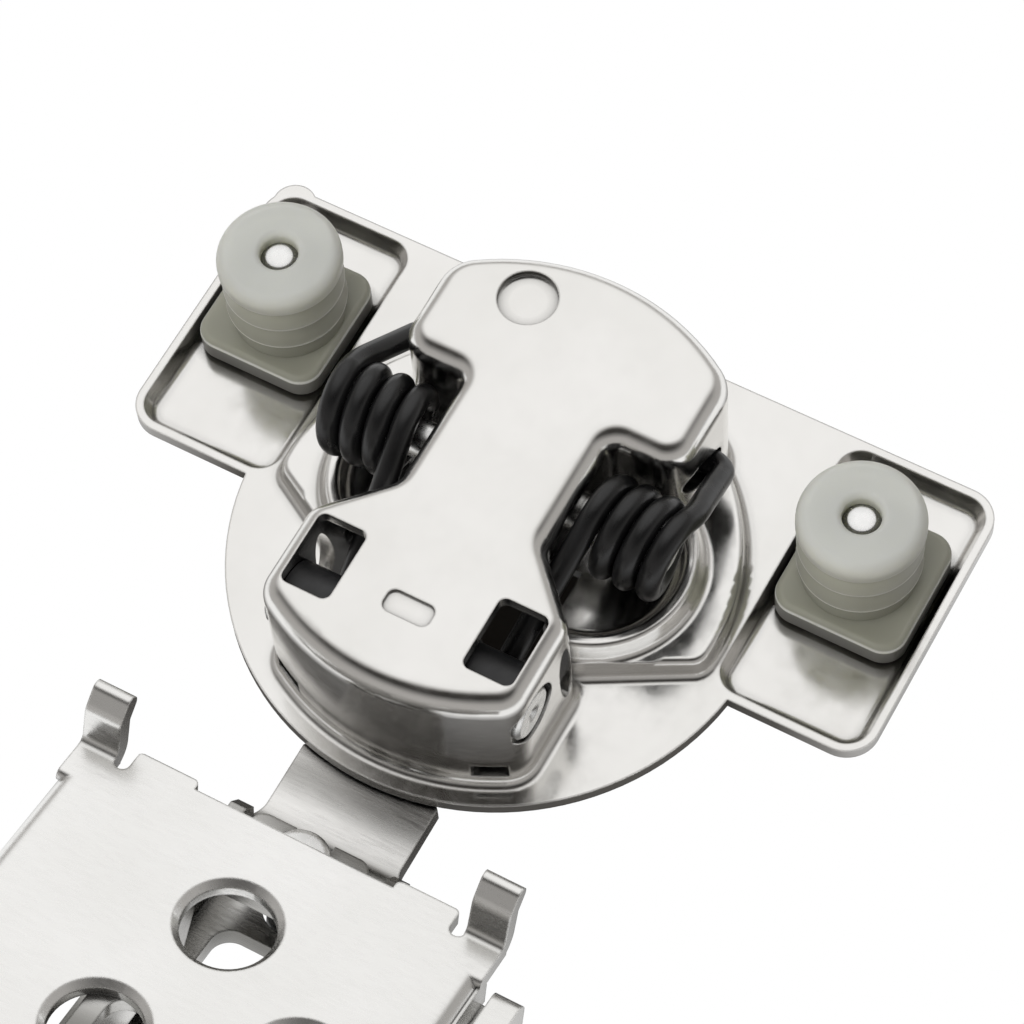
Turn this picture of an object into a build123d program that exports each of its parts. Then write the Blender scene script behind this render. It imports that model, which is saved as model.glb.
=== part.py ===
"""Compact face-frame cup hinge with press-in dowels and a soft-close damper.

Millimetres. The origin is the axis of the 35 mm door bore, on the face of the
flange that lies against the door. +Z points into the door, +X towards the back
of the cup, Y along the hinge pin. The hinge is drawn fully open (105 degrees).
The plate, its channel and their screws are drawn in the plate's own frame: x
forwards to the cup, z towards the cabinet wood, and z = 0 on the wood.
"""
import math
import os

from build123d import *

os.makedirs("parts", exist_ok=True)

# ---------------------------------------------------------------- cup
SHEET = 1.0  # thickness of the drawn cup
BORE = 35.0  # door bore that the cup drops into
CUP_R = BORE / 2 - 0.15
CUP_H = 11.3
EDGE_R = 1.6  # round between floor and walls
FOOT_R = 0.8  # round between walls and flange
COLLAR_FOOT_R = 0.6
MOUTH_R = 0.8
FLANGE_R = 19.1

LOBE_X = 6.0  # front face of the back lobe
LOBE_Y = 10.9
WAIST_X = -3.0
WAIST_Y = 5.6
FRONT_X = -7.4
FRONT_Y = 9.8

COLLAR_R = 16.9  # low collar that carries the bore circle past the springs
COLLAR_H = 1.6
COLLAR_SLOPE = 14.0
COLLAR_EDGE = ((-6.0, 9.6), (-1.8, 17.2))
LIP_X = 1.6  # lip drawn up from the collar, round the end of each coil
LIP_Y = 6.4
LIP_R = 7.1
LIP_H = 3.0
LIP_T = 0.8
LIP_SLOPE = 25.0

WING_Y = 29.0
WING_FRONT = -2.8
WING_BACK = 19.2
WING_R = 2.4
TRAY_DEPTH = 1.25
TRAY_RIM = 0.6
TRAY_IN_Y = 17.3
TRAY_SLOPE = 25.0

# ---------------------------------------------------------------- fits
RUNNING = 0.05  # radial running fit of pins
GAP = 0.3  # air between pieces that pass each other
BEND_R = 0.3  # inside radius of a sharp fold
REACH = 80.0  # longer than the hinge: what trims and cuts right through

# ---------------------------------------------------------------- hinge pin
PIN_X = -12.5
PIN_Z = 6.9
PIN_R = 1.5
PIN_HEAD_R = 2.0
PIN_HEAD_T = 0.5
DIMPLE_T = 0.6

# ---------------------------------------------------------------- springs
SPRING_X = 1.95
SPRING_Z = 7.15
SPRING_R = 2.75
WIRE_R = 0.85
SPRING_PITCH = 1.78
SPRING_TURNS = 3
MANDREL_R = 1.4
LEG_HOLE_R = 1.1
LEG_BEND = 1.3
SPRING_Y = (6.95, 7.5)  # inner ends of the right and the left coil
LEAD = math.atan(SPRING_PITCH / (math.tau * SPRING_R))  # slope of the coil and its legs
SHOE_LEG_END = (-9.0, 4.9)
WALL_LEG = (10.6, 4.8)
LEG_SLOT = (-2.6, 1.6)  # the slot for the wall leg runs this way from its hook
LEG_EASE = 8.0  # slow curve by which the leg draws in to the wall
SHOE_R = 2.8

# ---------------------------------------------------------------- damper
DAMPER_FRONT = 0.2
DAMPER_BACK = 12.5
DAMPER_Y = 3.6
DAMPER_Z0 = 1.4
DAMPER_Z1 = 5.3
DAMPER_AXIS_Z = 3.4
DAMPER_CAP_T = 1.0
PISTON_TIP = -5.3
PISTON_LEN = 11.0
PISTON_R = 1.1
BUFFER_R = 1.5
BUFFER_T = 1.1

# ---------------------------------------------------------------- dowels
DOWEL_X = 9.6
DOWEL_Y = 22.5  # half of the 45 mm dowel spacing
DOWEL_TOP = 8.9
DOWEL_R = 4.42
DOWEL_NECK_R = 4.0
DOWEL_CAP_H = 1.4
DOWEL_ROUND = 0.9
BARB_PITCH = 2.25
BARBS = 3
BLOCK_X = 10.0
BLOCK_Y = 9.7
BLOCK_T = 2.4
SCREW_R = 1.35
SCREW_HEAD_R = 3.2
SCREW_HEAD_T = 1.8

# ---------------------------------------------------------------- arm and plate
STRAP_T = 1.4
STRAP_Y = 5.2
NECK_Y = 4.3
CHANNEL_Y = 6.6
CHEEK_T = 1.2
ARM_WEB_H = -9.7  # middle of the arm's web, in the plate's frame

OPEN_TILT = 15.0  # the plate leans this far past 90 degrees when fully open
PLATE_X = -27.16
PLATE_Z = 6.2
PLATE_T = 1.2
PLATE_Y = 15.85
PLATE_LEN = 42.0
PLATE_HOLES = ((-8.0, 0.0), (-18.9, 3.0), (-14.9, -9.2))
HOLE_R = 3.15
BASE_Y = 5.1
BASE_T = 1.2
BASE_END = 37.0
WALL_BOTTOM = -7.2
WALL_REAR = -8.2
WALL_STEP_X = -22.0
TONGUE_H = -3.6
TONGUE_X = 3.2
TONGUE_Y = 4.4
BASE_WINDOWS = ((-13.8, -4.7), (-22.4, -15.4))
ARM_WINDOWS = ((-13.0, -2.6), (-24.0, -15.0))
ARM_LEN = 34.0
CHEEK_TOP = -4.4
NECK_END = -17.5
STRAP_Z = -2.05  # middle of the strap where it passes under the flange
STRAP_END = -24.0

OVERLAY_X = 0.9
OVERLAY_R = 1.9
OVERLAY_NECK_R = 1.3
OVERLAY_END = -11.6
MUSHROOM_R = 2.15
REAR_PIN_X = -29.0
REAR_PIN_H = -6.6
REAR_PIN_R = 1.0

TAB_W = 2.75
FLANGE_DROP = 3.3
FLANGE_FRONT = 2.5
SLIDE_Y = 1.5
RIVET_XS = (-25.5, -34.0)
RIVET_R = 1.5
CAM_X = -28.0
CAM_Y = -9.6
CAM_OFFSET = 1.5
CAM_SHAFT_R = 1.75
CAM_DISC_R = 2.4
CAM_HEAD_R = 3.0


def mirrored(shape):
    """The same shape on the other side of the hinge's middle plane."""
    return mirror(shape, Plane.XZ)


def both_sides(shape):
    return shape + mirrored(shape)


def save(shape, name):
    shape.label = name
    export_step(shape, f"parts/{name}.step")
    print(name, round(shape.volume, 1), shape.is_valid, len(shape.solids()))


SIDE = Plane(origin=(0, 0, 0), x_dir=(1, 0, 0), z_dir=(0, -1, 0))


def across(x, z, y0, y1, radius):
    """A round bar along Y from y0 to y1 at (x, z)."""
    middle = (y0 + y1) / 2
    return Pos(x, middle, z) * Rot(90, 0, 0) * Cylinder(radius, abs(y1 - y0))


def box(x0, x1, y0, y1, z0, z1):
    size = Box(x1 - x0, y1 - y0, z1 - z0)
    return Pos((x0 + x1) / 2, (y0 + y1) / 2, (z0 + z1) / 2) * size


def pick(edges, rule):
    """The edges whose middle point meets the rule."""
    return [e for e in edges if rule(e @ 0.5, e.bounding_box().size)]


# ---------------------------------------------------------------- cup body
def corners(sketch, x, y):
    """The two vertices of a sketch nearest to (x, y) and (x, -y)."""
    found = []
    for side in (1, -1):
        target = Vector(x, side * y)
        found.append(min(sketch.vertices(), key=lambda v: (Vector(v.X, v.Y) - target).length))
    return found


def cup_outline():
    half = Polyline(
        (BORE, 0), (BORE, LOBE_Y), (LOBE_X, LOBE_Y), (LOBE_X, WAIST_Y), (WAIST_X, WAIST_Y),
        (FRONT_X, FRONT_Y), (-BORE, FRONT_Y), (-BORE, 0), close=True,
    )
    sketch = both_sides(make_face(half)) & Circle(CUP_R)
    front_corner_x = -math.sqrt(CUP_R**2 - FRONT_Y**2)
    back_corner_x = math.sqrt(CUP_R**2 - LOBE_Y**2)
    for x, y, radius in (
        (front_corner_x, FRONT_Y, 2.2),
        (FRONT_X, FRONT_Y, 1.9),
        (WAIST_X, WAIST_Y, 1.4),
        (LOBE_X, WAIST_Y, 0.9),
        (LOBE_X, LOBE_Y, 2.2),
        (back_corner_x, LOBE_Y, 3.0),
    ):
        sketch = fillet(corners(sketch, x, y), radius)
    return sketch


def collar_plan(inset):
    """Plan of the low collar on one side, its outer edges moved in by inset."""
    near, far = (Vector(*p) for p in COLLAR_EDGE)
    along = (far - near).normalized()
    step = Vector(along.Y, -along.X) * inset
    start = near + step - along * 5
    end = far + step + along * 5
    inside = WAIST_Y / 2
    points = [(start.X, inside), (BORE, inside), (BORE, BORE), (end.X, end.Y), (start.X, start.Y)]
    return make_face(Polyline(*points, close=True)) & Circle(COLLAR_R - inset)


def spring_lip():
    """Rounded lip round the end of one coil, flowing into the collar on both sides."""
    flare = (LIP_H - COLLAR_H) * math.tan(math.radians(LIP_SLOPE))
    foot_in = LIP_R - LIP_T - flare
    foot_out = LIP_R + flare
    profile = make_face(Polyline(
        (foot_in - 1, 0), (foot_in - 1, COLLAR_H), (foot_in, COLLAR_H), (LIP_R - LIP_T, LIP_H), (LIP_R, LIP_H),
        (foot_out, COLLAR_H), (foot_out + 1, COLLAR_H), (foot_out + 1, 0), close=True,
    ))
    crest = profile.vertices().filter_by(lambda v: v.Y > LIP_H - 0.1)
    profile = fillet(crest, LIP_T / 2)
    level = profile.vertices().filter_by(lambda v: abs(v.Y - COLLAR_H) < 0.01)
    feet = level.filter_by(lambda v: foot_in - 0.5 < v.X < foot_out + 0.5)
    return Pos(LIP_X, LIP_Y, 0) * revolve(SIDE * fillet(feet, 0.6), Axis.Z)


def collar():
    """Low ring beside one spring, with the lip that stands round the coil."""
    hill = extrude(collar_plan(0), LIP_H, taper=COLLAR_SLOPE)
    upright = pick(hill.edges(), lambda p, size: size.Z > 1)
    hill = fillet(max(upright, key=lambda e: (e @ 0.5).Y), 1.5)
    low = hill & box(-FLANGE_R, FLANGE_R, 0, FLANGE_R, 0, COLLAR_H)
    shoulder = pick(low.edges(), lambda p, size: abs(p.Z - COLLAR_H) < 0.01 and p.Y > 4)
    return fillet(shoulder, 0.5) + (hill & spring_lip())


def wing_plan():
    middle = (WING_BACK + WING_FRONT) / 2
    return Pos(middle, 0) * RectangleRounded(WING_BACK - WING_FRONT, 2 * WING_Y, WING_R)


def tray(inset, depth, top):
    """One tapered pan on the +Y side, its rim set in from the wing's edge."""
    length = WING_BACK - WING_FRONT - 2 * inset
    width = WING_Y - TRAY_IN_Y - 2 * inset + TRAY_RIM
    centre = Pos((WING_BACK + WING_FRONT) / 2, (WING_Y + TRAY_IN_Y - TRAY_RIM) / 2, top)
    rim = centre * RectangleRounded(length, width, WING_R - 0.6)
    return extrude(rim, -depth, taper=TRAY_SLOPE)


def flange():
    ear = Pos(WING_BACK - 1.2, WING_Y - 1.85) * Circle(1.6)
    plate = extrude(Circle(FLANGE_R) + wing_plan() + ear, -SHEET)
    pan = tray(0.25, TRAY_DEPTH + SHEET / 2, -SHEET / 2)
    hollow = tray(TRAY_RIM, TRAY_DEPTH, 0)
    hollow = fillet(hollow.faces().sort_by(Axis.Z)[0].edges(), 0.5)
    return plate + both_sides(pan) - both_sides(hollow)


def foot_of(body, rule):
    """Edges that lie flat in the door face z = 0 and meet the rule."""
    return pick(body.edges(), lambda p, size: abs(p.Z) < 0.01 and size.Z < 0.01 and rule(p))


def cup_shell():
    """The drawn cup without its holes."""
    outline = cup_outline()
    lobes = extrude(Plane.XY.offset(-SHEET / 2) * outline, CUP_H + SHEET / 2)
    lobes = fillet(lobes.faces().sort_by(Axis.Z)[-1].edges(), EDGE_R)
    base = flange()
    ring = base + both_sides(collar())
    feet = foot_of(ring, lambda p: math.hypot(p.X, p.Y) < COLLAR_R + 0.1 and abs(p.Y) > 4)
    ring = fillet(feet, COLLAR_FOOT_R)
    pot = base + lobes
    pot = fillet(foot_of(pot, lambda p: math.hypot(p.X, p.Y) < CUP_R + 0.05 and abs(p.Y) < 16.9), FOOT_R)
    inner = extrude(Plane.XY.offset(-2 * SHEET) * offset(outline, -SHEET), CUP_H + SHEET)
    under = extrude(Plane.XY.offset(-2 * SHEET) * collar_plan(SHEET), COLLAR_H + SHEET)
    shell = ring + pot - (inner + both_sides(under))
    under_face = pick(shell.edges(), lambda p, size: abs(p.Z + SHEET) < 0.01 and size.Z < 0.01)
    mouth = [e for e in under_face if math.hypot((e @ 0.5).X, (e @ 0.5).Y) < CUP_R - SHEET + 0.25]
    return fillet(mouth, MOUTH_R)


def cup_body():
    body = cup_shell()
    window = Pos(-10.54, 6.84, CUP_H) * extrude(RectangleRounded(5.64, 3.68, 0.6), 2, both=True)
    body -= both_sides(window)
    body -= Pos(12.94, 4.47, CUP_H) * Cylinder(2.12, 1.0)
    pad = Pos(-11.3, 0, CUP_H - 0.25) * extrude(RectangleRounded(1.7, 3.5, 0.6), 1)
    body -= pad
    dimple = across(PIN_X, PIN_Z, FRONT_Y - DIMPLE_T, FRONT_Y + 1, PIN_HEAD_R + 0.3)
    body -= both_sides(dimple)
    body -= across(PIN_X, PIN_Z, -FRONT_Y - 1, FRONT_Y + 1, PIN_R)
    body -= across(SPRING_X, SPRING_Z, -WAIST_Y - 1, WAIST_Y + 1, MANDREL_R)
    slot = Pos(-8.3, FRONT_Y, 5.4) * Rot(90, 0, 0) * extrude(Ellipse(0.85, 3.3), 2, both=True)
    body -= both_sides(slot)
    notch = box(-18.5, -14.2, 6.6, 8.9, 0.9, 2.5)
    body -= both_sides(notch)
    reach = math.hypot(*LEG_SLOT)
    slope = math.degrees(math.atan2(LEG_SLOT[1], LEG_SLOT[0]))
    slot = Pos(*WALL_LEG) * Rot(0, 0, slope) * Pos(reach / 2, 0) * SlotCenterToCenter(reach, 2 * LEG_HOLE_R)
    body -= both_sides(Pos(0, LOBE_Y, 0) * extrude(SIDE * slot, 2, both=True))
    middle = (SPRING_Y[0] + SPRING_Y[1]) / 2 - (SPRING_X + 5.4) * math.tan(LEAD)
    width = 2 * LEG_HOLE_R + SPRING_Y[1] - SPRING_Y[0]
    opening = RectangleRounded(2 * LEG_HOLE_R + 1.0, width, LEG_HOLE_R - RUNNING)
    inner_leg = Pos(-5.4, middle, 6.65) * Rot(0, 90, 0) * extrude(opening, 2.2, both=True)
    body -= both_sides(inner_leg)
    body -= both_sides(Pos(DOWEL_X, DOWEL_Y, -SHEET) * Cylinder(SCREW_R + 0.25, 4 * SHEET))
    body -= both_sides(box(-5.0, 0.4, NECK_Y, WAIST_Y + 0.5, COLLAR_H - SHEET - 0.2, 4.4))
    return body


def pivot_pin():
    pin = across(PIN_X, PIN_Z, -FRONT_Y + DIMPLE_T, FRONT_Y - DIMPLE_T, PIN_R)
    face = FRONT_Y - DIMPLE_T
    head = across(PIN_X, PIN_Z, face, face + PIN_HEAD_T, PIN_HEAD_R)
    rim = pick(head.edges(), lambda p, size: abs(p.Y - face - PIN_HEAD_T) < 0.01)
    head = chamfer(rim, 0.25)
    dimple = Cone(0, 0.7, 0.3, align=(Align.CENTER, Align.CENTER, Align.MAX))
    head -= Pos(PIN_X, face + PIN_HEAD_T, PIN_Z) * Rot(-90, 0, 0) * dimple
    return pin + both_sides(head)


# ---------------------------------------------------------------- springs
def in_pocket(angle, y):
    """A point of the coil's centre line at an angle from +X, in the XZ plane."""
    turn = math.radians(angle)
    return Vector(SPRING_X + SPRING_R * math.cos(turn), y, SPRING_Z + SPRING_R * math.sin(turn))


def tangent_angle(point, side):
    """Angle where a straight leg to a point touches the coil, over its top."""
    dx = point.X - SPRING_X
    dz = point.Z - SPRING_Z
    return math.degrees(math.atan2(dz, dx) % math.tau + side * math.acos(SPRING_R / math.hypot(dx, dz)))


def leg_length(point, target):
    """Length of a leg that leaves the coil at a point and reaches the target's (x, z)."""
    return math.hypot(target[0] - point.X, target[1] - point.Z) / math.cos(LEAD)


def wire(path):
    start = Plane(origin=path @ 0, z_dir=path % 0)
    return sweep(start * Circle(WIRE_R), path=path, is_frenet=True)


def torsion_spring(start_y):
    """The +Y spring: a close coil round its pin, one leg to the shoe, one to the cup wall."""
    first = tangent_angle(Vector(SHOE_LEG_END[0], 0, SHOE_LEG_END[1]), -1)
    last = tangent_angle(Vector(WALL_LEG[0], 0, WALL_LEG[1]), 1) - 360
    turns = SPRING_TURNS + (first - last) / 360
    frame = Plane(
        origin=(SPRING_X, start_y, SPRING_Z),
        x_dir=in_pocket(first, 0) - Vector(SPRING_X, 0, SPRING_Z),
        z_dir=(0, 1, 0),
    )
    coil = frame.location * Helix(pitch=SPRING_PITCH, height=SPRING_PITCH * turns, radius=SPRING_R)
    inner_end = coil @ 0
    outer_end = coil @ 1
    shoe_end = inner_end - (coil % 0) * leg_length(inner_end, SHOE_LEG_END)
    ease = outer_end + (coil % 1) * LEG_BEND
    corner = Vector(WALL_LEG[0], LOBE_Y + WIRE_R + 2 * RUNNING, WALL_LEG[1])
    hook_end = Vector(WALL_LEG[0], LOBE_Y - SHEET - 0.5, WALL_LEG[1])
    inner_leg = wire(Line(shoe_end, inner_end))
    half_turn = math.radians((coil % 1).get_angle(corner - ease)) / 2
    ease_r = min(LEG_EASE, 0.99 * LEG_BEND / math.tan(half_turn))
    outer_leg = wire(FilletPolyline(outer_end, ease, corner, hook_end, radius=[ease_r, LEG_BEND]))
    return wire(coil) + inner_leg + outer_leg


def spring_pin():
    reach = SPRING_Y[0] + SPRING_PITCH * SPRING_TURNS
    return across(SPRING_X, SPRING_Z, -reach, reach, MANDREL_R)


# ---------------------------------------------------------------- dowels
def dowel():
    """Nylon dowel on the +Y side: barbed barrel on a square foot."""
    floor_z = -TRAY_DEPTH
    middle = (WING_Y + TRAY_IN_Y - TRAY_RIM) / 2
    foot = Pos(DOWEL_X, middle, floor_z) * extrude(RectangleRounded(BLOCK_X, BLOCK_Y, 1.7), BLOCK_T)
    foot = fillet(foot.faces().sort_by(Axis.Z)[-1].edges(), 0.5)
    foot = chamfer(foot.faces().sort_by(Axis.Z)[0].edges(), 0.5)
    cap_z = DOWEL_TOP - DOWEL_CAP_H
    points = [(0, floor_z + 0.5), (DOWEL_NECK_R, floor_z + 0.5)]
    for k in range(BARBS - 1, 0, -1):
        level = cap_z - k * BARB_PITCH
        points += [(DOWEL_NECK_R, level), (DOWEL_R - 0.1, level)]
    points += [(DOWEL_NECK_R, cap_z), (DOWEL_R, cap_z), (DOWEL_R, DOWEL_TOP), (0, DOWEL_TOP)]
    profile = make_face(Polyline(*points, close=True))
    profile = fillet(profile.vertices().filter_by(lambda v: v.Y > DOWEL_TOP - 0.1 and v.X > 1), DOWEL_ROUND)
    barrel = Pos(DOWEL_X, DOWEL_Y, 0) * revolve(SIDE * profile, Axis.Z)
    body = foot + barrel
    body -= Pos(DOWEL_X, DOWEL_Y, 0) * Cylinder(SCREW_R, 4 * DOWEL_TOP)
    return fillet(body.edges().sort_by(Axis.Z)[-1], 0.5)


def cross_recess(size, width, depth):
    """A driver cross that opens upwards at z = 0."""
    arm = Box(size, width, 2 * depth)
    return arm + Rot(0, 0, 90) * arm


def dowel_screw():
    under = -TRAY_DEPTH - SHEET
    low = (Align.CENTER, Align.CENTER, Align.MIN)
    shank = Pos(0, 0, under) * Cylinder(SCREW_R, DOWEL_TOP - 0.7 - under, align=low)
    tip = shank.edges().sort_by(Axis.Z)[-1]
    shank = chamfer(tip, 0.4)
    high = (Align.CENTER, Align.CENTER, Align.MAX)
    head = Pos(0, 0, under) * Cylinder(SCREW_HEAD_R, SCREW_HEAD_T, align=high)
    head = chamfer(head.edges().sort_by(Axis.Z)[0], 0.8)
    head -= Pos(0, 0, under - SCREW_HEAD_T) * cross_recess(3.6, 0.9, 1.1)
    return Pos(DOWEL_X, DOWEL_Y, 0) * (shank + head)


# ---------------------------------------------------------------- damper
def damper_housing():
    body = box(DAMPER_FRONT + DAMPER_CAP_T, DAMPER_BACK, -DAMPER_Y, DAMPER_Y, DAMPER_Z0, DAMPER_Z1)
    body = fillet(body.edges().filter_by(Axis.X), 0.8)
    lug = box(DAMPER_BACK - 4.5, DAMPER_BACK, -DAMPER_Y, DAMPER_Y, DAMPER_Z1 - 1.5, CUP_H - SHEET)
    lug = fillet(lug.edges().filter_by(Axis.Z), 0.8)
    bore = along_x(DAMPER_FRONT - 1, DAMPER_BACK - 1.2, PISTON_R + RUNNING)
    return body + lug - bore


def along_x(x0, x1, radius):
    """A round bar on the damper's axis from x0 to x1."""
    return Pos((x0 + x1) / 2, 0, DAMPER_AXIS_Z) * Rot(0, 90, 0) * Cylinder(radius, x1 - x0)


def damper_cap():
    cap = box(DAMPER_FRONT, DAMPER_FRONT + DAMPER_CAP_T, -DAMPER_Y, DAMPER_Y, DAMPER_Z0, DAMPER_Z1)
    cap = fillet(cap.edges().filter_by(Axis.X), 0.8)
    return cap - along_x(DAMPER_FRONT - 1, DAMPER_FRONT + 3, PISTON_R + RUNNING)


def damper_piston():
    return along_x(PISTON_TIP + BUFFER_T, PISTON_TIP + PISTON_LEN, PISTON_R)


def damper_buffer():
    buffer = along_x(PISTON_TIP, PISTON_TIP + BUFFER_T, BUFFER_R)
    return chamfer(buffer.edges().sort_by(Axis.X)[0], 0.4)


# ---------------------------------------------------------------- arm
TILT = math.radians(OPEN_TILT)
AT_PLATE = Plane(
    origin=(PLATE_X, 0, PLATE_Z),
    x_dir=(math.cos(TILT), 0, -math.sin(TILT)),
    z_dir=(math.sin(TILT), 0, math.cos(TILT)),
).location


def plate_point(x, h):
    """Door-frame (x, z) of a point given in the plate's frame."""
    return (
        PLATE_X + x * math.cos(TILT) + h * math.sin(TILT),
        PLATE_Z - x * math.sin(TILT) + h * math.cos(TILT),
    )


def arm_plan():
    """Outline of the arm seen from above: narrow neck, strap, then the channel."""
    channel_x = plate_point(3.4, ARM_WEB_H)[0] + 1.0
    half = Polyline(
        (0, 0), (0, NECK_Y), (NECK_END, NECK_Y), (NECK_END - 0.9, STRAP_Y), (channel_x + 1.6, STRAP_Y),
        (channel_x, CHANNEL_Y), (-REACH, CHANNEL_Y), (-REACH, 0), close=True,
    )
    plan = both_sides(make_face(half))
    plan = fillet(corners(plan, channel_x + 1.6, STRAP_Y), 1.5)
    return fillet(corners(plan, channel_x, CHANNEL_Y), 0.8)


def pivot_arm():
    """Gooseneck strap curled round the hinge pin and drawn out into a channel."""
    curl_r = PIN_R + RUNNING + STRAP_T / 2
    path = FilletPolyline(
        (PIN_X + curl_r, PIN_Z),
        (-11.2, 2.7),
        (-13.1, -0.6),
        (-16.2, STRAP_Z),
        (STRAP_END, STRAP_Z),
        plate_point(3.4, ARM_WEB_H),
        plate_point(-ARM_LEN, ARM_WEB_H),
        radius=[1.8, 1.8, 1.8, 1.2, 1.2],
    )
    strip = extrude(SIDE * make_face(offset(path, STRAP_T / 2, side=Side.BOTH).edges()), 10, both=True)
    strip = strip & extrude(arm_plan(), REACH, both=True)
    curl = across(PIN_X, PIN_Z, -NECK_Y, NECK_Y, curl_r + STRAP_T / 2)
    arm = strip + curl - across(PIN_X, PIN_Z, -NECK_Y - 1, NECK_Y + 1, PIN_R + RUNNING)
    web = ARM_WEB_H - STRAP_T / 2
    cheek = make_face(Polyline(
        (4.6, web + 0.6), (4.3, CHEEK_TOP - 0.9), (3.3, CHEEK_TOP), (-ARM_LEN, CHEEK_TOP),
        (-ARM_LEN, web), (2.6, web), close=True,
    ))
    cheek = Pos(0, CHANNEL_Y - CHEEK_T / 2, 0) * extrude(SIDE * cheek, CHEEK_T / 2, both=True)
    arm += AT_PLATE * both_sides(cheek)
    for x0, x1 in ARM_WINDOWS:
        opening = Pos((x0 + x1) / 2, 0, ARM_WEB_H) * extrude(RectangleRounded(x1 - x0, 7.0, 1.5), 2, both=True)
        arm -= AT_PLATE * opening
    arm -= AT_PLATE * (Pos(OVERLAY_X, 0, ARM_WEB_H) * Cylinder(OVERLAY_R + GAP, 4))
    arm -= AT_PLATE * across(REAR_PIN_X, REAR_PIN_H, -CHANNEL_Y - 1, CHANNEL_Y + 1, REAR_PIN_R)
    return arm


def spring_shoe():
    """Plastic shoe on the pin between the curl and the cup wall; the spring's leg bears on it."""
    y0 = NECK_Y + GAP
    y1 = FRONT_Y - SHEET - RUNNING
    shoe = across(PIN_X, PIN_Z, y0, y1, SHOE_R)
    shoe &= extrude(offset(cup_outline(), -SHEET - RUNNING), CUP_H)
    return shoe - across(PIN_X, PIN_Z, y0 - 1, y1 + 1, PIN_R)


def rear_pin():
    pin = across(REAR_PIN_X, REAR_PIN_H, -CHANNEL_Y, CHANNEL_Y, REAR_PIN_R)
    head = across(REAR_PIN_X, REAR_PIN_H, CHANNEL_Y, CHANNEL_Y + 0.6, REAR_PIN_R + 0.6)
    head = chamfer(pick(head.edges(), lambda p, size: p.Y > CHANNEL_Y + 0.5), 0.2)
    return AT_PLATE * (pin + both_sides(head))


# ---------------------------------------------------------------- plate and channel
def base_channel():
    """Inverted channel under the plate, with a forked tongue at its front."""
    top = -PLATE_T
    web = box(-BASE_END, -3.8, -BASE_Y, BASE_Y, top - BASE_T, top)
    ear = box(CAM_X - 5.0, CAM_X + 7.0, CAM_Y - 3.4, -BASE_Y + 1, top - BASE_T, top)
    ear = fillet(pick(ear.edges().filter_by(Axis.Z), lambda p, size: p.Y < -8), 1.5)
    wall = make_face(Polyline(
        (-5.0, top), (-5.0, top - 1.4), (-7.0, WALL_BOTTOM), (WALL_STEP_X, WALL_BOTTOM),
        (WALL_STEP_X - 1.5, WALL_REAR), (-BASE_END, WALL_REAR), (-BASE_END, top), close=True,
    ))
    wall = Pos(0, BASE_Y - BASE_T / 2, 0) * extrude(SIDE * wall, BASE_T / 2, both=True)
    step = FilletPolyline(
        (-4.6, top - BASE_T / 2), (-3.4, top - BASE_T / 2), (-2.2, TONGUE_H - BASE_T / 2),
        (TONGUE_X + 1, TONGUE_H - BASE_T / 2), radius=0.7,
    )
    tongue = extrude(SIDE * make_face(offset(step, BASE_T / 2, side=Side.BOTH).edges()), BASE_Y, both=True)
    tongue &= Pos(TONGUE_X - 4, 0, -20) * extrude(RectangleRounded(8, 2 * TONGUE_Y, 1.0), 30)
    fork = Pos(OVERLAY_X, 0, TONGUE_H) * Cylinder(OVERLAY_NECK_R + 0.15, 4)
    half = OVERLAY_NECK_R + 0.15
    fork += box(OVERLAY_X, TONGUE_X + 1, -half, half, TONGUE_H - 2, TONGUE_H + 1)
    body = web + ear + both_sides(wall) + tongue - fork
    for x0, x1 in BASE_WINDOWS:
        body -= Pos((x0 + x1) / 2, 0, top) * extrude(RectangleRounded(x1 - x0, 7.2, 1.5), 2, both=True)
    cam_slot = SlotOverall(2 * CAM_DISC_R + 3.6, 2 * CAM_DISC_R + 0.4)
    body -= Pos(CAM_X + CAM_OFFSET / 2, CAM_Y, top) * extrude(cam_slot, 3, both=True)
    for x in RIVET_XS:
        slot = Rot(0, 0, 90) * SlotOverall(2 * (RIVET_R + SLIDE_Y + 0.2), 2 * (RIVET_R + 0.1))
        body -= Pos(x, 0, top) * extrude(slot, 3, both=True)
    body -= across(REAR_PIN_X, REAR_PIN_H, -BASE_Y - 1, BASE_Y + 1, REAR_PIN_R + RUNNING)
    return AT_PLATE * body


def overlay_screw():
    """Threaded through the arm; its mushroom end is caught in the fork."""
    low = (Align.CENTER, Align.CENTER, Align.MIN)
    neck_top = TONGUE_H + 0.15
    shank_top = TONGUE_H - BASE_T - 0.15
    shank = Pos(0, 0, OVERLAY_END) * Cylinder(OVERLAY_R, shank_top - OVERLAY_END, align=low)
    shank = chamfer(shank.edges().sort_by(Axis.Z)[0], 0.3)
    neck = Pos(0, 0, shank_top) * Cylinder(OVERLAY_NECK_R, neck_top - shank_top, align=low)
    cap = Pos(0, 0, neck_top) * Cylinder(MUSHROOM_R, 0.8, align=low)
    cap = fillet(cap.edges().sort_by(Axis.Z)[-1], 0.5)
    cross = Pos(0, 0, OVERLAY_END) * cross_recess(2.6, 0.7, 1.4)
    return AT_PLATE * (Pos(OVERLAY_X, 0, 0) * (shank + neck + cap - cross))


def hook_tab():
    """Front locating hook on the +Y side, bent up towards the wood."""
    mid = -PLATE_T / 2
    path = FilletPolyline((-3, mid), (0.1, mid), (0.5, 2.6), (1.3, 3.6), radius=[1.2, 0.8])
    tab = extrude(SIDE * make_face(offset(path, PLATE_T / 2, side=Side.BOTH).edges()), TAB_W / 2, both=True)
    return Pos(0, PLATE_Y - TAB_W / 2, 0) * tab


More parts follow.
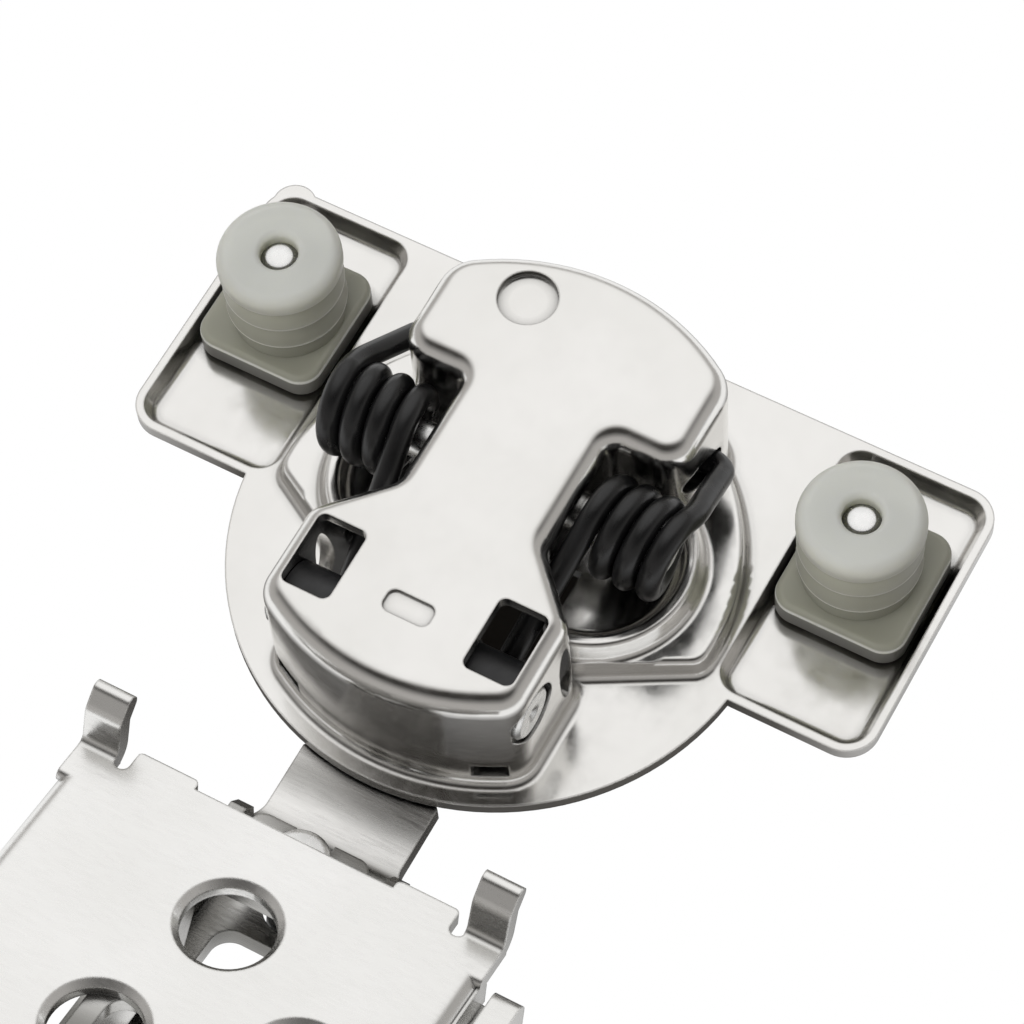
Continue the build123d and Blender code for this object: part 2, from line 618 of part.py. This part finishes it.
def side_flange():
    """Edge of the plate folded down on the +Y side, with its bend."""
    inside = PLATE_Y - PLATE_T
    x0 = inside - PLATE_T
    section = make_face(Polyline(
        (x0, 0), (PLATE_Y, 0), (PLATE_Y, -FLANGE_DROP), (inside, -FLANGE_DROP), (inside, -PLATE_T),
        (x0, -PLATE_T), close=True,
    ))
    outside = section.vertices().filter_by(lambda v: v.X > PLATE_Y - 0.1 and v.Y > -0.1)
    section = fillet(outside, BEND_R + PLATE_T)
    fold = section.vertices().filter_by(lambda v: abs(v.X - inside) < 0.1 and abs(v.Y + PLATE_T) < 0.1)
    across_x = Plane(origin=(-PLATE_LEN, 0, 0), x_dir=(0, 1, 0), z_dir=(1, 0, 0))
    return extrude(across_x * fillet(fold, BEND_R), PLATE_LEN - FLANGE_FRONT)


def mounting_plate():
    sheet = box(-PLATE_LEN, 0, -PLATE_Y + 2.2, PLATE_Y - 2.2, -PLATE_T, 0)
    sheet += box(-FLANGE_FRONT, 0, -PLATE_Y, PLATE_Y, -PLATE_T, 0)
    lip = box(-1, 0.7, 7.45, 12.1, -PLATE_T, 0)
    lip = fillet(pick(lip.edges().filter_by(Axis.Z), lambda p, size: p.X > 0), 0.4)
    notch = Pos(0, 12.6, -PLATE_T / 2) * extrude(SlotOverall(2.4, 1.1), 2, both=True)
    body = sheet + both_sides(lip) - both_sides(notch) + both_sides(hook_tab()) + both_sides(side_flange())
    hem = box(-PLATE_LEN, -FLANGE_FRONT - 0.3, -PLATE_Y - 2.9, -PLATE_Y + 0.2, -FLANGE_DROP - 1.2, -0.6)
    hem -= box(-PLATE_LEN - 1, 0, -PLATE_Y - 0.9, -PLATE_Y, -FLANGE_DROP, 1)
    front = pick(hem.edges(), lambda p, size: p.X > -FLANGE_FRONT - 0.4 and p.Z > -0.7)
    hem = fillet([e for e in front if (e @ 0.5).Y < -PLATE_Y - 1], 1.0)
    body += hem
    for x, y in PLATE_HOLES:
        body -= Pos(x, y, 0) * Cylinder(HOLE_R, 4)
        body -= Pos(x, y, 0.01) * Cone(HOLE_R, HOLE_R + 0.5, 0.5, align=(Align.CENTER, Align.CENTER, Align.MAX))
    for x in RIVET_XS:
        body -= Pos(x, 0, 0) * Cylinder(RIVET_R, 4)
    body -= Pos(CAM_X, CAM_Y, 0) * Cylinder(CAM_SHAFT_R + RUNNING, 4)
    return AT_PLATE * body


def slide_rivet(x):
    high = (Align.CENTER, Align.CENTER, Align.MAX)
    under = -PLATE_T - BASE_T - 0.05
    shank = Cylinder(RIVET_R, -under, align=high)
    head = Pos(0, 0, under) * Cylinder(RIVET_R + 0.7, 0.9, align=high)
    head = chamfer(head.edges().sort_by(Axis.Z)[0], 0.3)
    return AT_PLATE * (Pos(x, 0, 0) * (shank + head))


def height_cam():
    """Eccentric held in the plate; its disc moves the channel sideways."""
    high = (Align.CENTER, Align.CENTER, Align.MAX)
    shaft = Cylinder(CAM_SHAFT_R, PLATE_T, align=high)
    disc = Pos(CAM_OFFSET, 0, -PLATE_T) * Cylinder(CAM_DISC_R, BASE_T + 0.05, align=high)
    head = Pos(0, 0, -PLATE_T - BASE_T - 0.05) * Cylinder(CAM_HEAD_R, 1.1, align=high)
    head = chamfer(head.edges().sort_by(Axis.Z)[0], 0.25)
    head -= Pos(0, 0, -PLATE_T - BASE_T - 1.15) * cross_recess(3.2, 0.8, 0.7)
    return AT_PLATE * (Pos(CAM_X, CAM_Y, 0) * (shaft + disc + head))


def main():
    save(cup_body(), "cup_body")
    save(pivot_pin(), "pivot_pin")
    save(spring_pin(), "spring_pin")
    save(mirrored(torsion_spring(SPRING_Y[0])), "spring_right")
    save(torsion_spring(SPRING_Y[1]), "spring_left")
    save(mirrored(dowel()), "dowel_right")
    save(dowel(), "dowel_left")
    screw = dowel_screw()
    save(Compound([screw, mirrored(screw)]), "dowel_screws")
    save(damper_housing(), "damper_housing")
    save(damper_cap(), "damper_cap")
    save(damper_piston(), "damper_piston")
    save(damper_buffer(), "damper_buffer")
    save(pivot_arm(), "pivot_arm")
    save(mirrored(spring_shoe()), "spring_shoe_right")
    save(spring_shoe(), "spring_shoe_left")
    save(rear_pin(), "rear_pin")
    save(base_channel(), "base_channel")
    save(overlay_screw(), "overlay_screw")
    save(mounting_plate(), "mounting_plate")
    save(Compound([slide_rivet(x) for x in RIVET_XS]), "slide_rivets")
    save(height_cam(), "height_cam")


main()
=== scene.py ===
"""Looks of the compact cup hinge: materials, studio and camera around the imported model.

Metres. The frame is the model's own: origin on the door face in the middle of the cup, +Z into
the door, +X towards the back of the cup, Y along the hinge pin.
"""
import math

import bpy
from mathutils import Matrix, Vector


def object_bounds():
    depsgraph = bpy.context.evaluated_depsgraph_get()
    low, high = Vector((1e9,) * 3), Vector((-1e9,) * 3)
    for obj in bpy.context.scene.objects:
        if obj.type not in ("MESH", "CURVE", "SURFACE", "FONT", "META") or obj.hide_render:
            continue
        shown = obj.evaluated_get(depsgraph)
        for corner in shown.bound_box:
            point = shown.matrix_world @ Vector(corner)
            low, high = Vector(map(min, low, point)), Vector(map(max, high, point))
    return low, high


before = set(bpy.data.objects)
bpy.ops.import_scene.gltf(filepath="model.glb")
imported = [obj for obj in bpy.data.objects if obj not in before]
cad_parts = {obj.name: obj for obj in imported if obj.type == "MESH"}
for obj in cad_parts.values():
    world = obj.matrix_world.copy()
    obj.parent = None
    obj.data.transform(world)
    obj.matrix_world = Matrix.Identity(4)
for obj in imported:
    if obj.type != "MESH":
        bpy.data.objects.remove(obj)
CAD_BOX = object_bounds()

MM = 0.001
WHITE = (1, 1, 1, 1)
NOISE_SPAN = (0.3, 0.7)  # most values of a noise lie between these


# ---------------------------------------------------------------- node helpers
class Nodes:
    """Short way to write a node tree."""

    def __init__(self, tree):
        self.tree = tree

    def add(self, kind, **settings):
        node = self.tree.nodes.new("ShaderNode" + kind)
        for key, value in settings.items():
            setattr(node, key, value)
        return node

    def link(self, source, target):
        self.tree.links.new(source, target)

    def feed(self, value, target):
        """Sets a socket to a constant, or links an output to it."""
        if isinstance(value, (int, float, tuple)):
            target.default_value = value
        else:
            self.link(value, target)

    def place(self, coordinates="Object"):
        return self.add("TexCoord").outputs[coordinates]

    def height(self, coordinates="Object"):
        split = self.add("SeparateXYZ")
        self.link(self.place(coordinates), split.inputs["Vector"])
        return split.outputs["Z"]

    def compute(self, operation, first, second):
        node = self.add("Math", operation=operation)
        self.feed(first, node.inputs[0])
        self.feed(second, node.inputs[1])
        return node.outputs["Value"]

    def measure(self, operation, point, coordinates="Object"):
        """DISTANCE of the shaded place from a point, or its DOT_PRODUCT with a direction."""
        node = self.add("VectorMath", operation=operation)
        self.link(self.place(coordinates), node.inputs[0])
        node.inputs[1].default_value = point
        return node.outputs["Value"]

    def spread(self, value, low, high, start=NOISE_SPAN[0], end=NOISE_SPAN[1]):
        """low to high as value goes from start to end."""
        node = self.add("MapRange")
        node.inputs["From Min"].default_value = start
        node.inputs["From Max"].default_value = end
        node.inputs["To Min"].default_value = low
        node.inputs["To Max"].default_value = high
        self.link(value, node.inputs["Value"])
        return node.outputs["Result"]

    def ramp(self, value, stops):
        """Colour over a value from 0 to 1: (value, colour)."""
        node = self.add("ValToRGB")
        elements = node.color_ramp.elements
        while len(elements) < len(stops):
            elements.new(0.5)
        for element, (position, colour) in zip(elements, stops):
            element.position = position
            element.color = (*colour, 1)
        self.link(value, node.inputs["Fac"])
        return node.outputs["Color"]

    def blend(self, factor, first, second, kind="MIX"):
        mix = self.add("MixRGB", blend_type=kind)
        self.feed(factor, mix.inputs["Fac"])
        self.feed(first, mix.inputs["Color1"])
        self.feed(second, mix.inputs["Color2"])
        return mix.outputs["Color"]


class Surface(Nodes):
    """A material on the Principled shader."""

    def __init__(self, name):
        self.material = bpy.data.materials.new(name)
        self.material.use_nodes = True
        super().__init__(self.material.node_tree)
        self.shader = self.tree.nodes["Principled BSDF"]

    def give(self, socket, value):
        self.feed(value, self.shader.inputs[socket])

    def noise(self, scale, detail=3.0, stretch=(1, 1, 1), roughness=0.5):
        mapping = self.add("Mapping")
        mapping.inputs["Scale"].default_value = stretch
        self.link(self.place(), mapping.inputs["Vector"])
        node = self.add("TexNoise")
        node.inputs["Scale"].default_value = scale
        node.inputs["Detail"].default_value = detail
        node.inputs["Roughness"].default_value = roughness
        self.link(mapping.outputs["Vector"], node.inputs["Vector"])
        return node.outputs["Fac"]

    def tint(self, value, low, high):
        """Colour from low to high over a noise."""
        start, end = NOISE_SPAN
        return self.ramp(value, [(start, low), (end, high)])

    def painted_fold_shade(self, colour):
        """Paints shade into a colour: darker in folds and at the foot of walls."""
        fold = self.add("AmbientOcclusion", samples=CREASE_SAMPLES)
        fold.inputs["Distance"].default_value = CREASE_REACH
        shade = self.spread(fold.outputs["AO"], CREASE_DARK, 1.0, *CREASE_OPENNESS)
        return self.blend(1.0, colour, shade, "MULTIPLY")

    def bump(self, heights, edge=0.0):
        """Bumps chained one on the other: (height, strength, distance in metres).

        edge is the radius in metres to which sharp edges look broken.
        """
        normal = None
        if edge:
            bevel = self.add("Bevel", samples=EDGE_SAMPLES)
            bevel.inputs["Radius"].default_value = edge
            normal = bevel.outputs["Normal"]
        for height, strength, distance in heights:
            node = self.add("Bump")
            node.inputs["Strength"].default_value = strength
            node.inputs["Distance"].default_value = distance
            self.link(height, node.inputs["Height"])
            if normal:
                self.link(normal, node.inputs["Normal"])
            normal = node.outputs["Normal"]
        self.give("Normal", normal)


# ---------------------------------------------------------------- materials
# Painted shade in folds and at the foot of walls, taken from ambient occlusion.
CREASE_REACH = 0.9 * MM
CREASE_DARK = 0.25  # share of the colour left in a closed fold
CREASE_OPENNESS = (0.35, 0.95)  # ambient occlusion from which, and up to which, a fold lightens
CREASE_SAMPLES = 6
EDGE_BREAK = 0.22 * MM  # how round the sheet metal's sharp edges look
EDGE_SAMPLES = 4

# Noise of the metal, scales per metre.
CLOUDS = (90, 4, (1, 1, 1))  # a plain sheet's tint: scale, detail, stretch
# The arm's bands are painted shade and reflection across it.
ARM_SHADE_BANDS = (210, 0.5, (1, 0.12, 1))  # soft bands across the rolled arm, in the same order
SWELL = 160
LINES = 700
PITS = 2600
LINES_ROUGHEN = (-0.05, 0.07)  # what the drawing lines change a finish's roughness by


def nickel(name, low, high, rough, grain, tone_and_shade_noise=CLOUDS):
    """Nickel-plated steel: tint over a noise (painted bands of shade and reflection on the arm), painted
    shade in folds, drawing lines along grain, faint pits.
    """
    m = Surface(name)
    m.give("Metallic", 1.0)
    m.give("Base Color", m.painted_fold_shade(m.tint(m.noise(*tone_and_shade_noise), low, high)))
    lines = m.noise(LINES, stretch=grain, roughness=0.6)
    m.give("Roughness", m.spread(lines, *(rough + change for change in LINES_ROUGHEN)))
    swell = m.noise(SWELL, detail=2)
    pits = m.noise(PITS, detail=2)
    m.bump([(swell, 0.25, 0.1 * MM), (lines, 0.03, 0.02 * MM), (pits, 0.06, 0.01 * MM)], EDGE_BREAK)
    return m.material


def black_wire():
    m = Surface("black_wire")
    m.give("Metallic", 0.0)
    m.give("Specular IOR Level", 0.5)
    paint = m.noise(scale=400)
    m.give("Base Color", m.tint(paint, (0.004, 0.004, 0.0042), (0.010, 0.010, 0.0105)))
    m.give("Roughness", m.spread(m.noise(scale=1200), 0.26, 0.36))
    m.bump([(m.noise(scale=2200, detail=2), 0.12, 0.02 * MM)])
    return m.material


NYLON_SPAN = (-1.8 * MM, 8.9 * MM)  # heights between which the levels below are shared out
NYLON_SHADING_LEVELS = (
    # painted shade darkens the foot and lower barrel, where the dark tray would show through; a painted
    # glow lightens the cap's walls
    (0.0, (0.17, 0.165, 0.15)),
    (0.215, (0.30, 0.295, 0.27)),
    (0.26, (0.42, 0.42, 0.345)),
    (0.80, (0.70, 0.70, 0.585)),
    (0.87, (0.89, 0.89, 0.77)),
    (0.96, (0.86, 0.865, 0.78)),
    (1.0, (0.79, 0.805, 0.76)),
)
# Painted highlight on the sharp edges of the cap and the barbs.
NYLON_EDGE_HIGHLIGHT = (1.0, 1.0, 0.90, 1)
NYLON_EDGE_HIGHLIGHT_HALF = (0.06 * MM, 0.18 * MM)  # the light of an edge is full within, and gone beyond
BARB_EDGE = 7.5 * MM  # height of the cap's sharp lower edge; the barbs repeat below it
BARB_PITCH = 2.25 * MM


def milky_nylon():
    """Translucent nylon: painted shade towards the foot, painted glow on the cap's walls, painted
    highlights along the barbs' thin edges.
    """
    m = Surface("milky_nylon")
    # Painted shade and glow by height, times a faint cloudy tone.
    painted_height_shading = m.ramp(m.spread(m.height(), 0, 1, *NYLON_SPAN), NYLON_SHADING_LEVELS)
    cloudy_and_shaded = m.blend(1.0, painted_height_shading, m.spread(m.noise(scale=120), 0.92, 1.0), "MULTIPLY")
    # Painted highlight, strongest at the nearest barb edge.
    nearest = m.compute("PINGPONG", m.compute("SUBTRACT", m.height(), BARB_EDGE), BARB_PITCH / 2)
    edge = m.spread(nearest, 1.0, 0.0, *NYLON_EDGE_HIGHLIGHT_HALF)
    m.give("Base Color", m.blend(edge, cloudy_and_shaded, NYLON_EDGE_HIGHLIGHT))
    m.give("Roughness", m.spread(m.noise(scale=500), 0.30, 0.42))
    m.give("Subsurface Weight", 0.6)
    m.give("Subsurface Radius", (1.8 * MM, 1.8 * MM, 1.6 * MM))
    m.give("Subsurface Scale", 1.0)
    m.give("Transmission Weight", 0.30)
    m.give("IOR", 1.5)
    m.bump([(m.noise(scale=900, detail=2), 0.10, 0.03 * MM)])
    return m.material


def moulded_black(name, dark, light, rough):
    m = Surface(name)
    m.give("Base Color", m.tint(m.noise(scale=300), dark, light))
    m.give("Roughness", m.spread(m.noise(scale=900), rough - 0.06, rough + 0.08))
    m.bump([(m.noise(scale=1800), 0.18, 0.03 * MM)])
    return m.material


CUP_NICKEL = nickel("cup_nickel", (0.80, 0.79, 0.765), (0.86, 0.85, 0.83), 0.17, (1, 1, 6))
# The arm's tint runs from dark to near white over its bands: painted shade and reflection.
ARM_NICKEL = nickel("arm_nickel", (0.27, 0.265, 0.25), (0.93, 0.92, 0.90), 0.24, (8, 0.6, 8), ARM_SHADE_BANDS)
PLATE_NICKEL = nickel("plate_nickel", (0.82, 0.815, 0.795), (0.87, 0.865, 0.85), 0.24, (6, 1, 6))
ZINC = nickel("screw_zinc", (0.84, 0.84, 0.83), (0.90, 0.90, 0.89), 0.27, (3, 3, 3))
WIRE = black_wire()
NYLON = milky_nylon()
ACETAL = moulded_black("black_acetal", (0.014, 0.014, 0.015), (0.028, 0.028, 0.030), 0.42)
BUFFER = moulded_black("buffer_rubber", (0.02, 0.02, 0.021), (0.04, 0.04, 0.042), 0.7)

FINISH = {
    CUP_NICKEL: ["cup_body"],
    ARM_NICKEL: ["pivot_arm", "base_channel"],
    PLATE_NICKEL: ["mounting_plate"],
    ZINC: ["pivot_pin", "spring_pin", "dowel_screws", "rear_pin", "overlay_screw", "slide_rivets",
           "height_cam", "damper_piston"],
    WIRE: ["spring_right", "spring_left"],
    NYLON: ["dowel_right", "dowel_left"],
    ACETAL: ["damper_housing", "damper_cap", "spring_shoe_right", "spring_shoe_left"],
    BUFFER: ["damper_buffer"],
}

for material, names in FINISH.items():
    for name in names:
        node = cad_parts[name]
        for slot in node.material_slots:
            slot.material = material


# ---------------------------------------------------------------- studio
KEY = Vector((0.55, 0.27, 0.79)).normalized()  # towards the middle of the bright screen
SCREEN = (
    # cosine of the angle from KEY, brightness of the surround there, warmth
    (-1.0, 0.02, 0.16),
    (0.05, 0.035, 0.14),
    (0.45, 0.035, 0.14),
    (0.62, 0.06, 0.12),
    (0.76, 0.60, 0.04),
    (0.86, 0.98, 0.01),
    (1.0, 1.02, 0.01),
)
WALLS_WARMTH = 0.06
WALLS = (
    # height of a direction, brightness of the band of walls around the studio, warmth
    (-1.0, 0.22, WALLS_WARMTH),
    (0.0, 0.22, WALLS_WARMTH),
    (0.06, 0.46, WALLS_WARMTH),
    (0.50, 0.42, WALLS_WARMTH),
    (0.70, 0.20, WALLS_WARMTH),
    (0.84, 0.0, WALLS_WARMTH),
)
FLOOR_HALF = 3.0
FLOOR_Z = CAD_BOX[0][2]
# Colour of the floor to diffuse rays, and of its painted shadow near and under the cup.
FLOOR_AND_SHADOW_DARK = (0.075, 0.068, 0.060, 1)
# Painted shadow that metal and glass see on the white floor: distance from the cup's centre, share of
# white.
FLOOR_PAINTED_SHADE = ((0.022, 0.05), (0.045, 1.0))
# Painted shadow disc that the camera sees under the cup.
PAINTED_CUP_SHADOW = (0.0056, 0.0150)  # under the cup: radius of full and of no shade
FILL_PLACE = Vector((-0.26, 0.06, 0.38))
FILL_SIDE = 0.35
FILL_POWER = 1.3


def surround_ramp(nodes, value, stops):
    """Brightness of the surround over a value from -1 to 1: (value, level, warmth)."""
    colours = [
        ((at + 1) / 2, (level, level * (1 - warmth / 2), level * (1 - warmth)))
        for at, level, warmth in stops
    ]
    return nodes.ramp(nodes.spread(value, 0, 1, -1, 1), colours)


def surround():
    """Soft screen behind the object and overhead, dim walls around.

    White where the camera sees it, straight or through the nylon.
    """
    world = bpy.data.worlds.new("studio")
    bpy.context.scene.world = world
    world.use_nodes = True
    nodes = Nodes(world.node_tree)
    screen = surround_ramp(nodes, nodes.measure("DOT_PRODUCT", KEY, "Generated"), SCREEN)
    walls = surround_ramp(nodes, nodes.height("Generated"), WALLS)
    studio = nodes.blend(1.0, screen, walls, "LIGHTEN")
    ray = nodes.add("LightPath").outputs
    seen = nodes.compute("MAXIMUM", ray["Is Camera Ray"], ray["Is Transmission Ray"])
    background = world.node_tree.nodes["Background"]
    nodes.link(nodes.blend(seen, studio, WHITE), background.inputs["Color"])
    background.inputs["Strength"].default_value = 1.0


def floor_material():
    """Metal and nylon see it white, but for a painted shadow which darkens it close to the cup.

    The camera looks through it to the white surround, so that it hides no piece which swings
    below it, and sees only a painted shadow disc under the cup.
    """
    material = bpy.data.materials.new("floor_with_painted_shadow")
    material.use_nodes = True
    nodes = Nodes(material.node_tree)
    nodes.tree.nodes.clear()
    ray = nodes.add("LightPath").outputs
    away = nodes.measure("DISTANCE", (0, 0, FLOOR_Z))

    (near, shaded), (far, open_floor) = FLOOR_PAINTED_SHADE
    # Share of white that glossy and transmission rays see: painted shadow close to the cup.
    white = nodes.spread(away, shaded, open_floor, near, far)
    mirrored = nodes.compute("MAXIMUM", ray["Is Glossy Ray"], ray["Is Transmission Ray"])
    diffuse = nodes.add("BsdfDiffuse")
    diffuse.inputs["Color"].default_value = FLOOR_AND_SHADOW_DARK
    glow = nodes.add("Emission")
    glow.inputs["Color"].default_value = WHITE
    glow.inputs["Strength"].default_value = 1.0
    solid = nodes.add("MixShader")
    nodes.link(nodes.compute("MULTIPLY", mirrored, white), solid.inputs["Fac"])
    nodes.link(diffuse.outputs["BSDF"], solid.inputs[1])
    nodes.link(glow.outputs["Emission"], solid.inputs[2])

    # Painted shadow disc: outside it the camera looks through the floor.
    lit = nodes.spread(away, 0, 1, *PAINTED_CUP_SHADOW)
    below = nodes.add("NewGeometry").outputs["Backfacing"]
    clear = nodes.compute("MAXIMUM", nodes.compute("MULTIPLY", ray["Is Camera Ray"], lit), below)
    surface = nodes.add("MixShader")
    nodes.link(clear, surface.inputs["Fac"])
    nodes.link(solid.outputs["Shader"], surface.inputs[1])
    nodes.link(nodes.add("BsdfTransparent").outputs["BSDF"], surface.inputs[2])
    nodes.link(surface.outputs["Shader"], nodes.add("OutputMaterial").inputs["Surface"])
    return material


def floor():
    mesh = bpy.data.meshes.new("floor")
    corners = [(x * FLOOR_HALF, y * FLOOR_HALF, FLOOR_Z) for x, y in ((-1, -1), (1, -1), (1, 1), (-1, 1))]
    mesh.from_pydata(corners, [], [(0, 1, 2, 3)])
    mesh.materials.append(floor_material())
    obj = bpy.data.objects.new("floor", mesh)
    bpy.context.scene.collection.objects.link(obj)


def fill_light():
    """Square lamp aimed at the cup, for the nylon and the plastics; metal doesn't mirror it."""
    data = bpy.data.lights.new("fill", "AREA")
    data.size = FILL_SIDE
    data.energy = FILL_POWER
    light = bpy.data.objects.new("fill", data)
    light.location = FILL_PLACE
    light.rotation_euler = FILL_PLACE.to_track_quat("Z", "Y").to_euler()
    light.visible_glossy = False
    bpy.context.scene.collection.objects.link(light)


# ---------------------------------------------------------------- camera
AZIMUTH = math.radians(-55.7)
ELEVATION = math.radians(61.5)
ROLL = math.radians(-6.1)
EYE = Vector((-0.10514, -0.07292, 0.24123))
FOCAL_PX = 3976.0
PICTURE_PX = 1024
SENSOR = 36.0
CLIP_START = 0.01


def camera():
    back = Vector((
        math.sin(AZIMUTH) * math.cos(ELEVATION),
        -math.cos(AZIMUTH) * math.cos(ELEVATION),
        math.sin(ELEVATION),
    ))
    right = Vector((math.cos(AZIMUTH), math.sin(AZIMUTH), 0))
    up = back.cross(right)
    turn = Matrix.Rotation(ROLL, 3, back)
    axes = Matrix((turn @ right, turn @ up, back)).transposed()
    data = bpy.data.cameras.new("camera")
    data.sensor_width = SENSOR
    data.lens = FOCAL_PX / PICTURE_PX * SENSOR
    data.clip_start = CLIP_START
    obj = bpy.data.objects.new("camera", data)
    obj.matrix_world = Matrix.Translation(EYE) @ axes.to_4x4()
    bpy.context.scene.collection.objects.link(obj)
    bpy.context.scene.camera = obj


surround()
floor()
camera()
fill_light()

bpy.context.scene.view_settings.view_transform = "Standard"
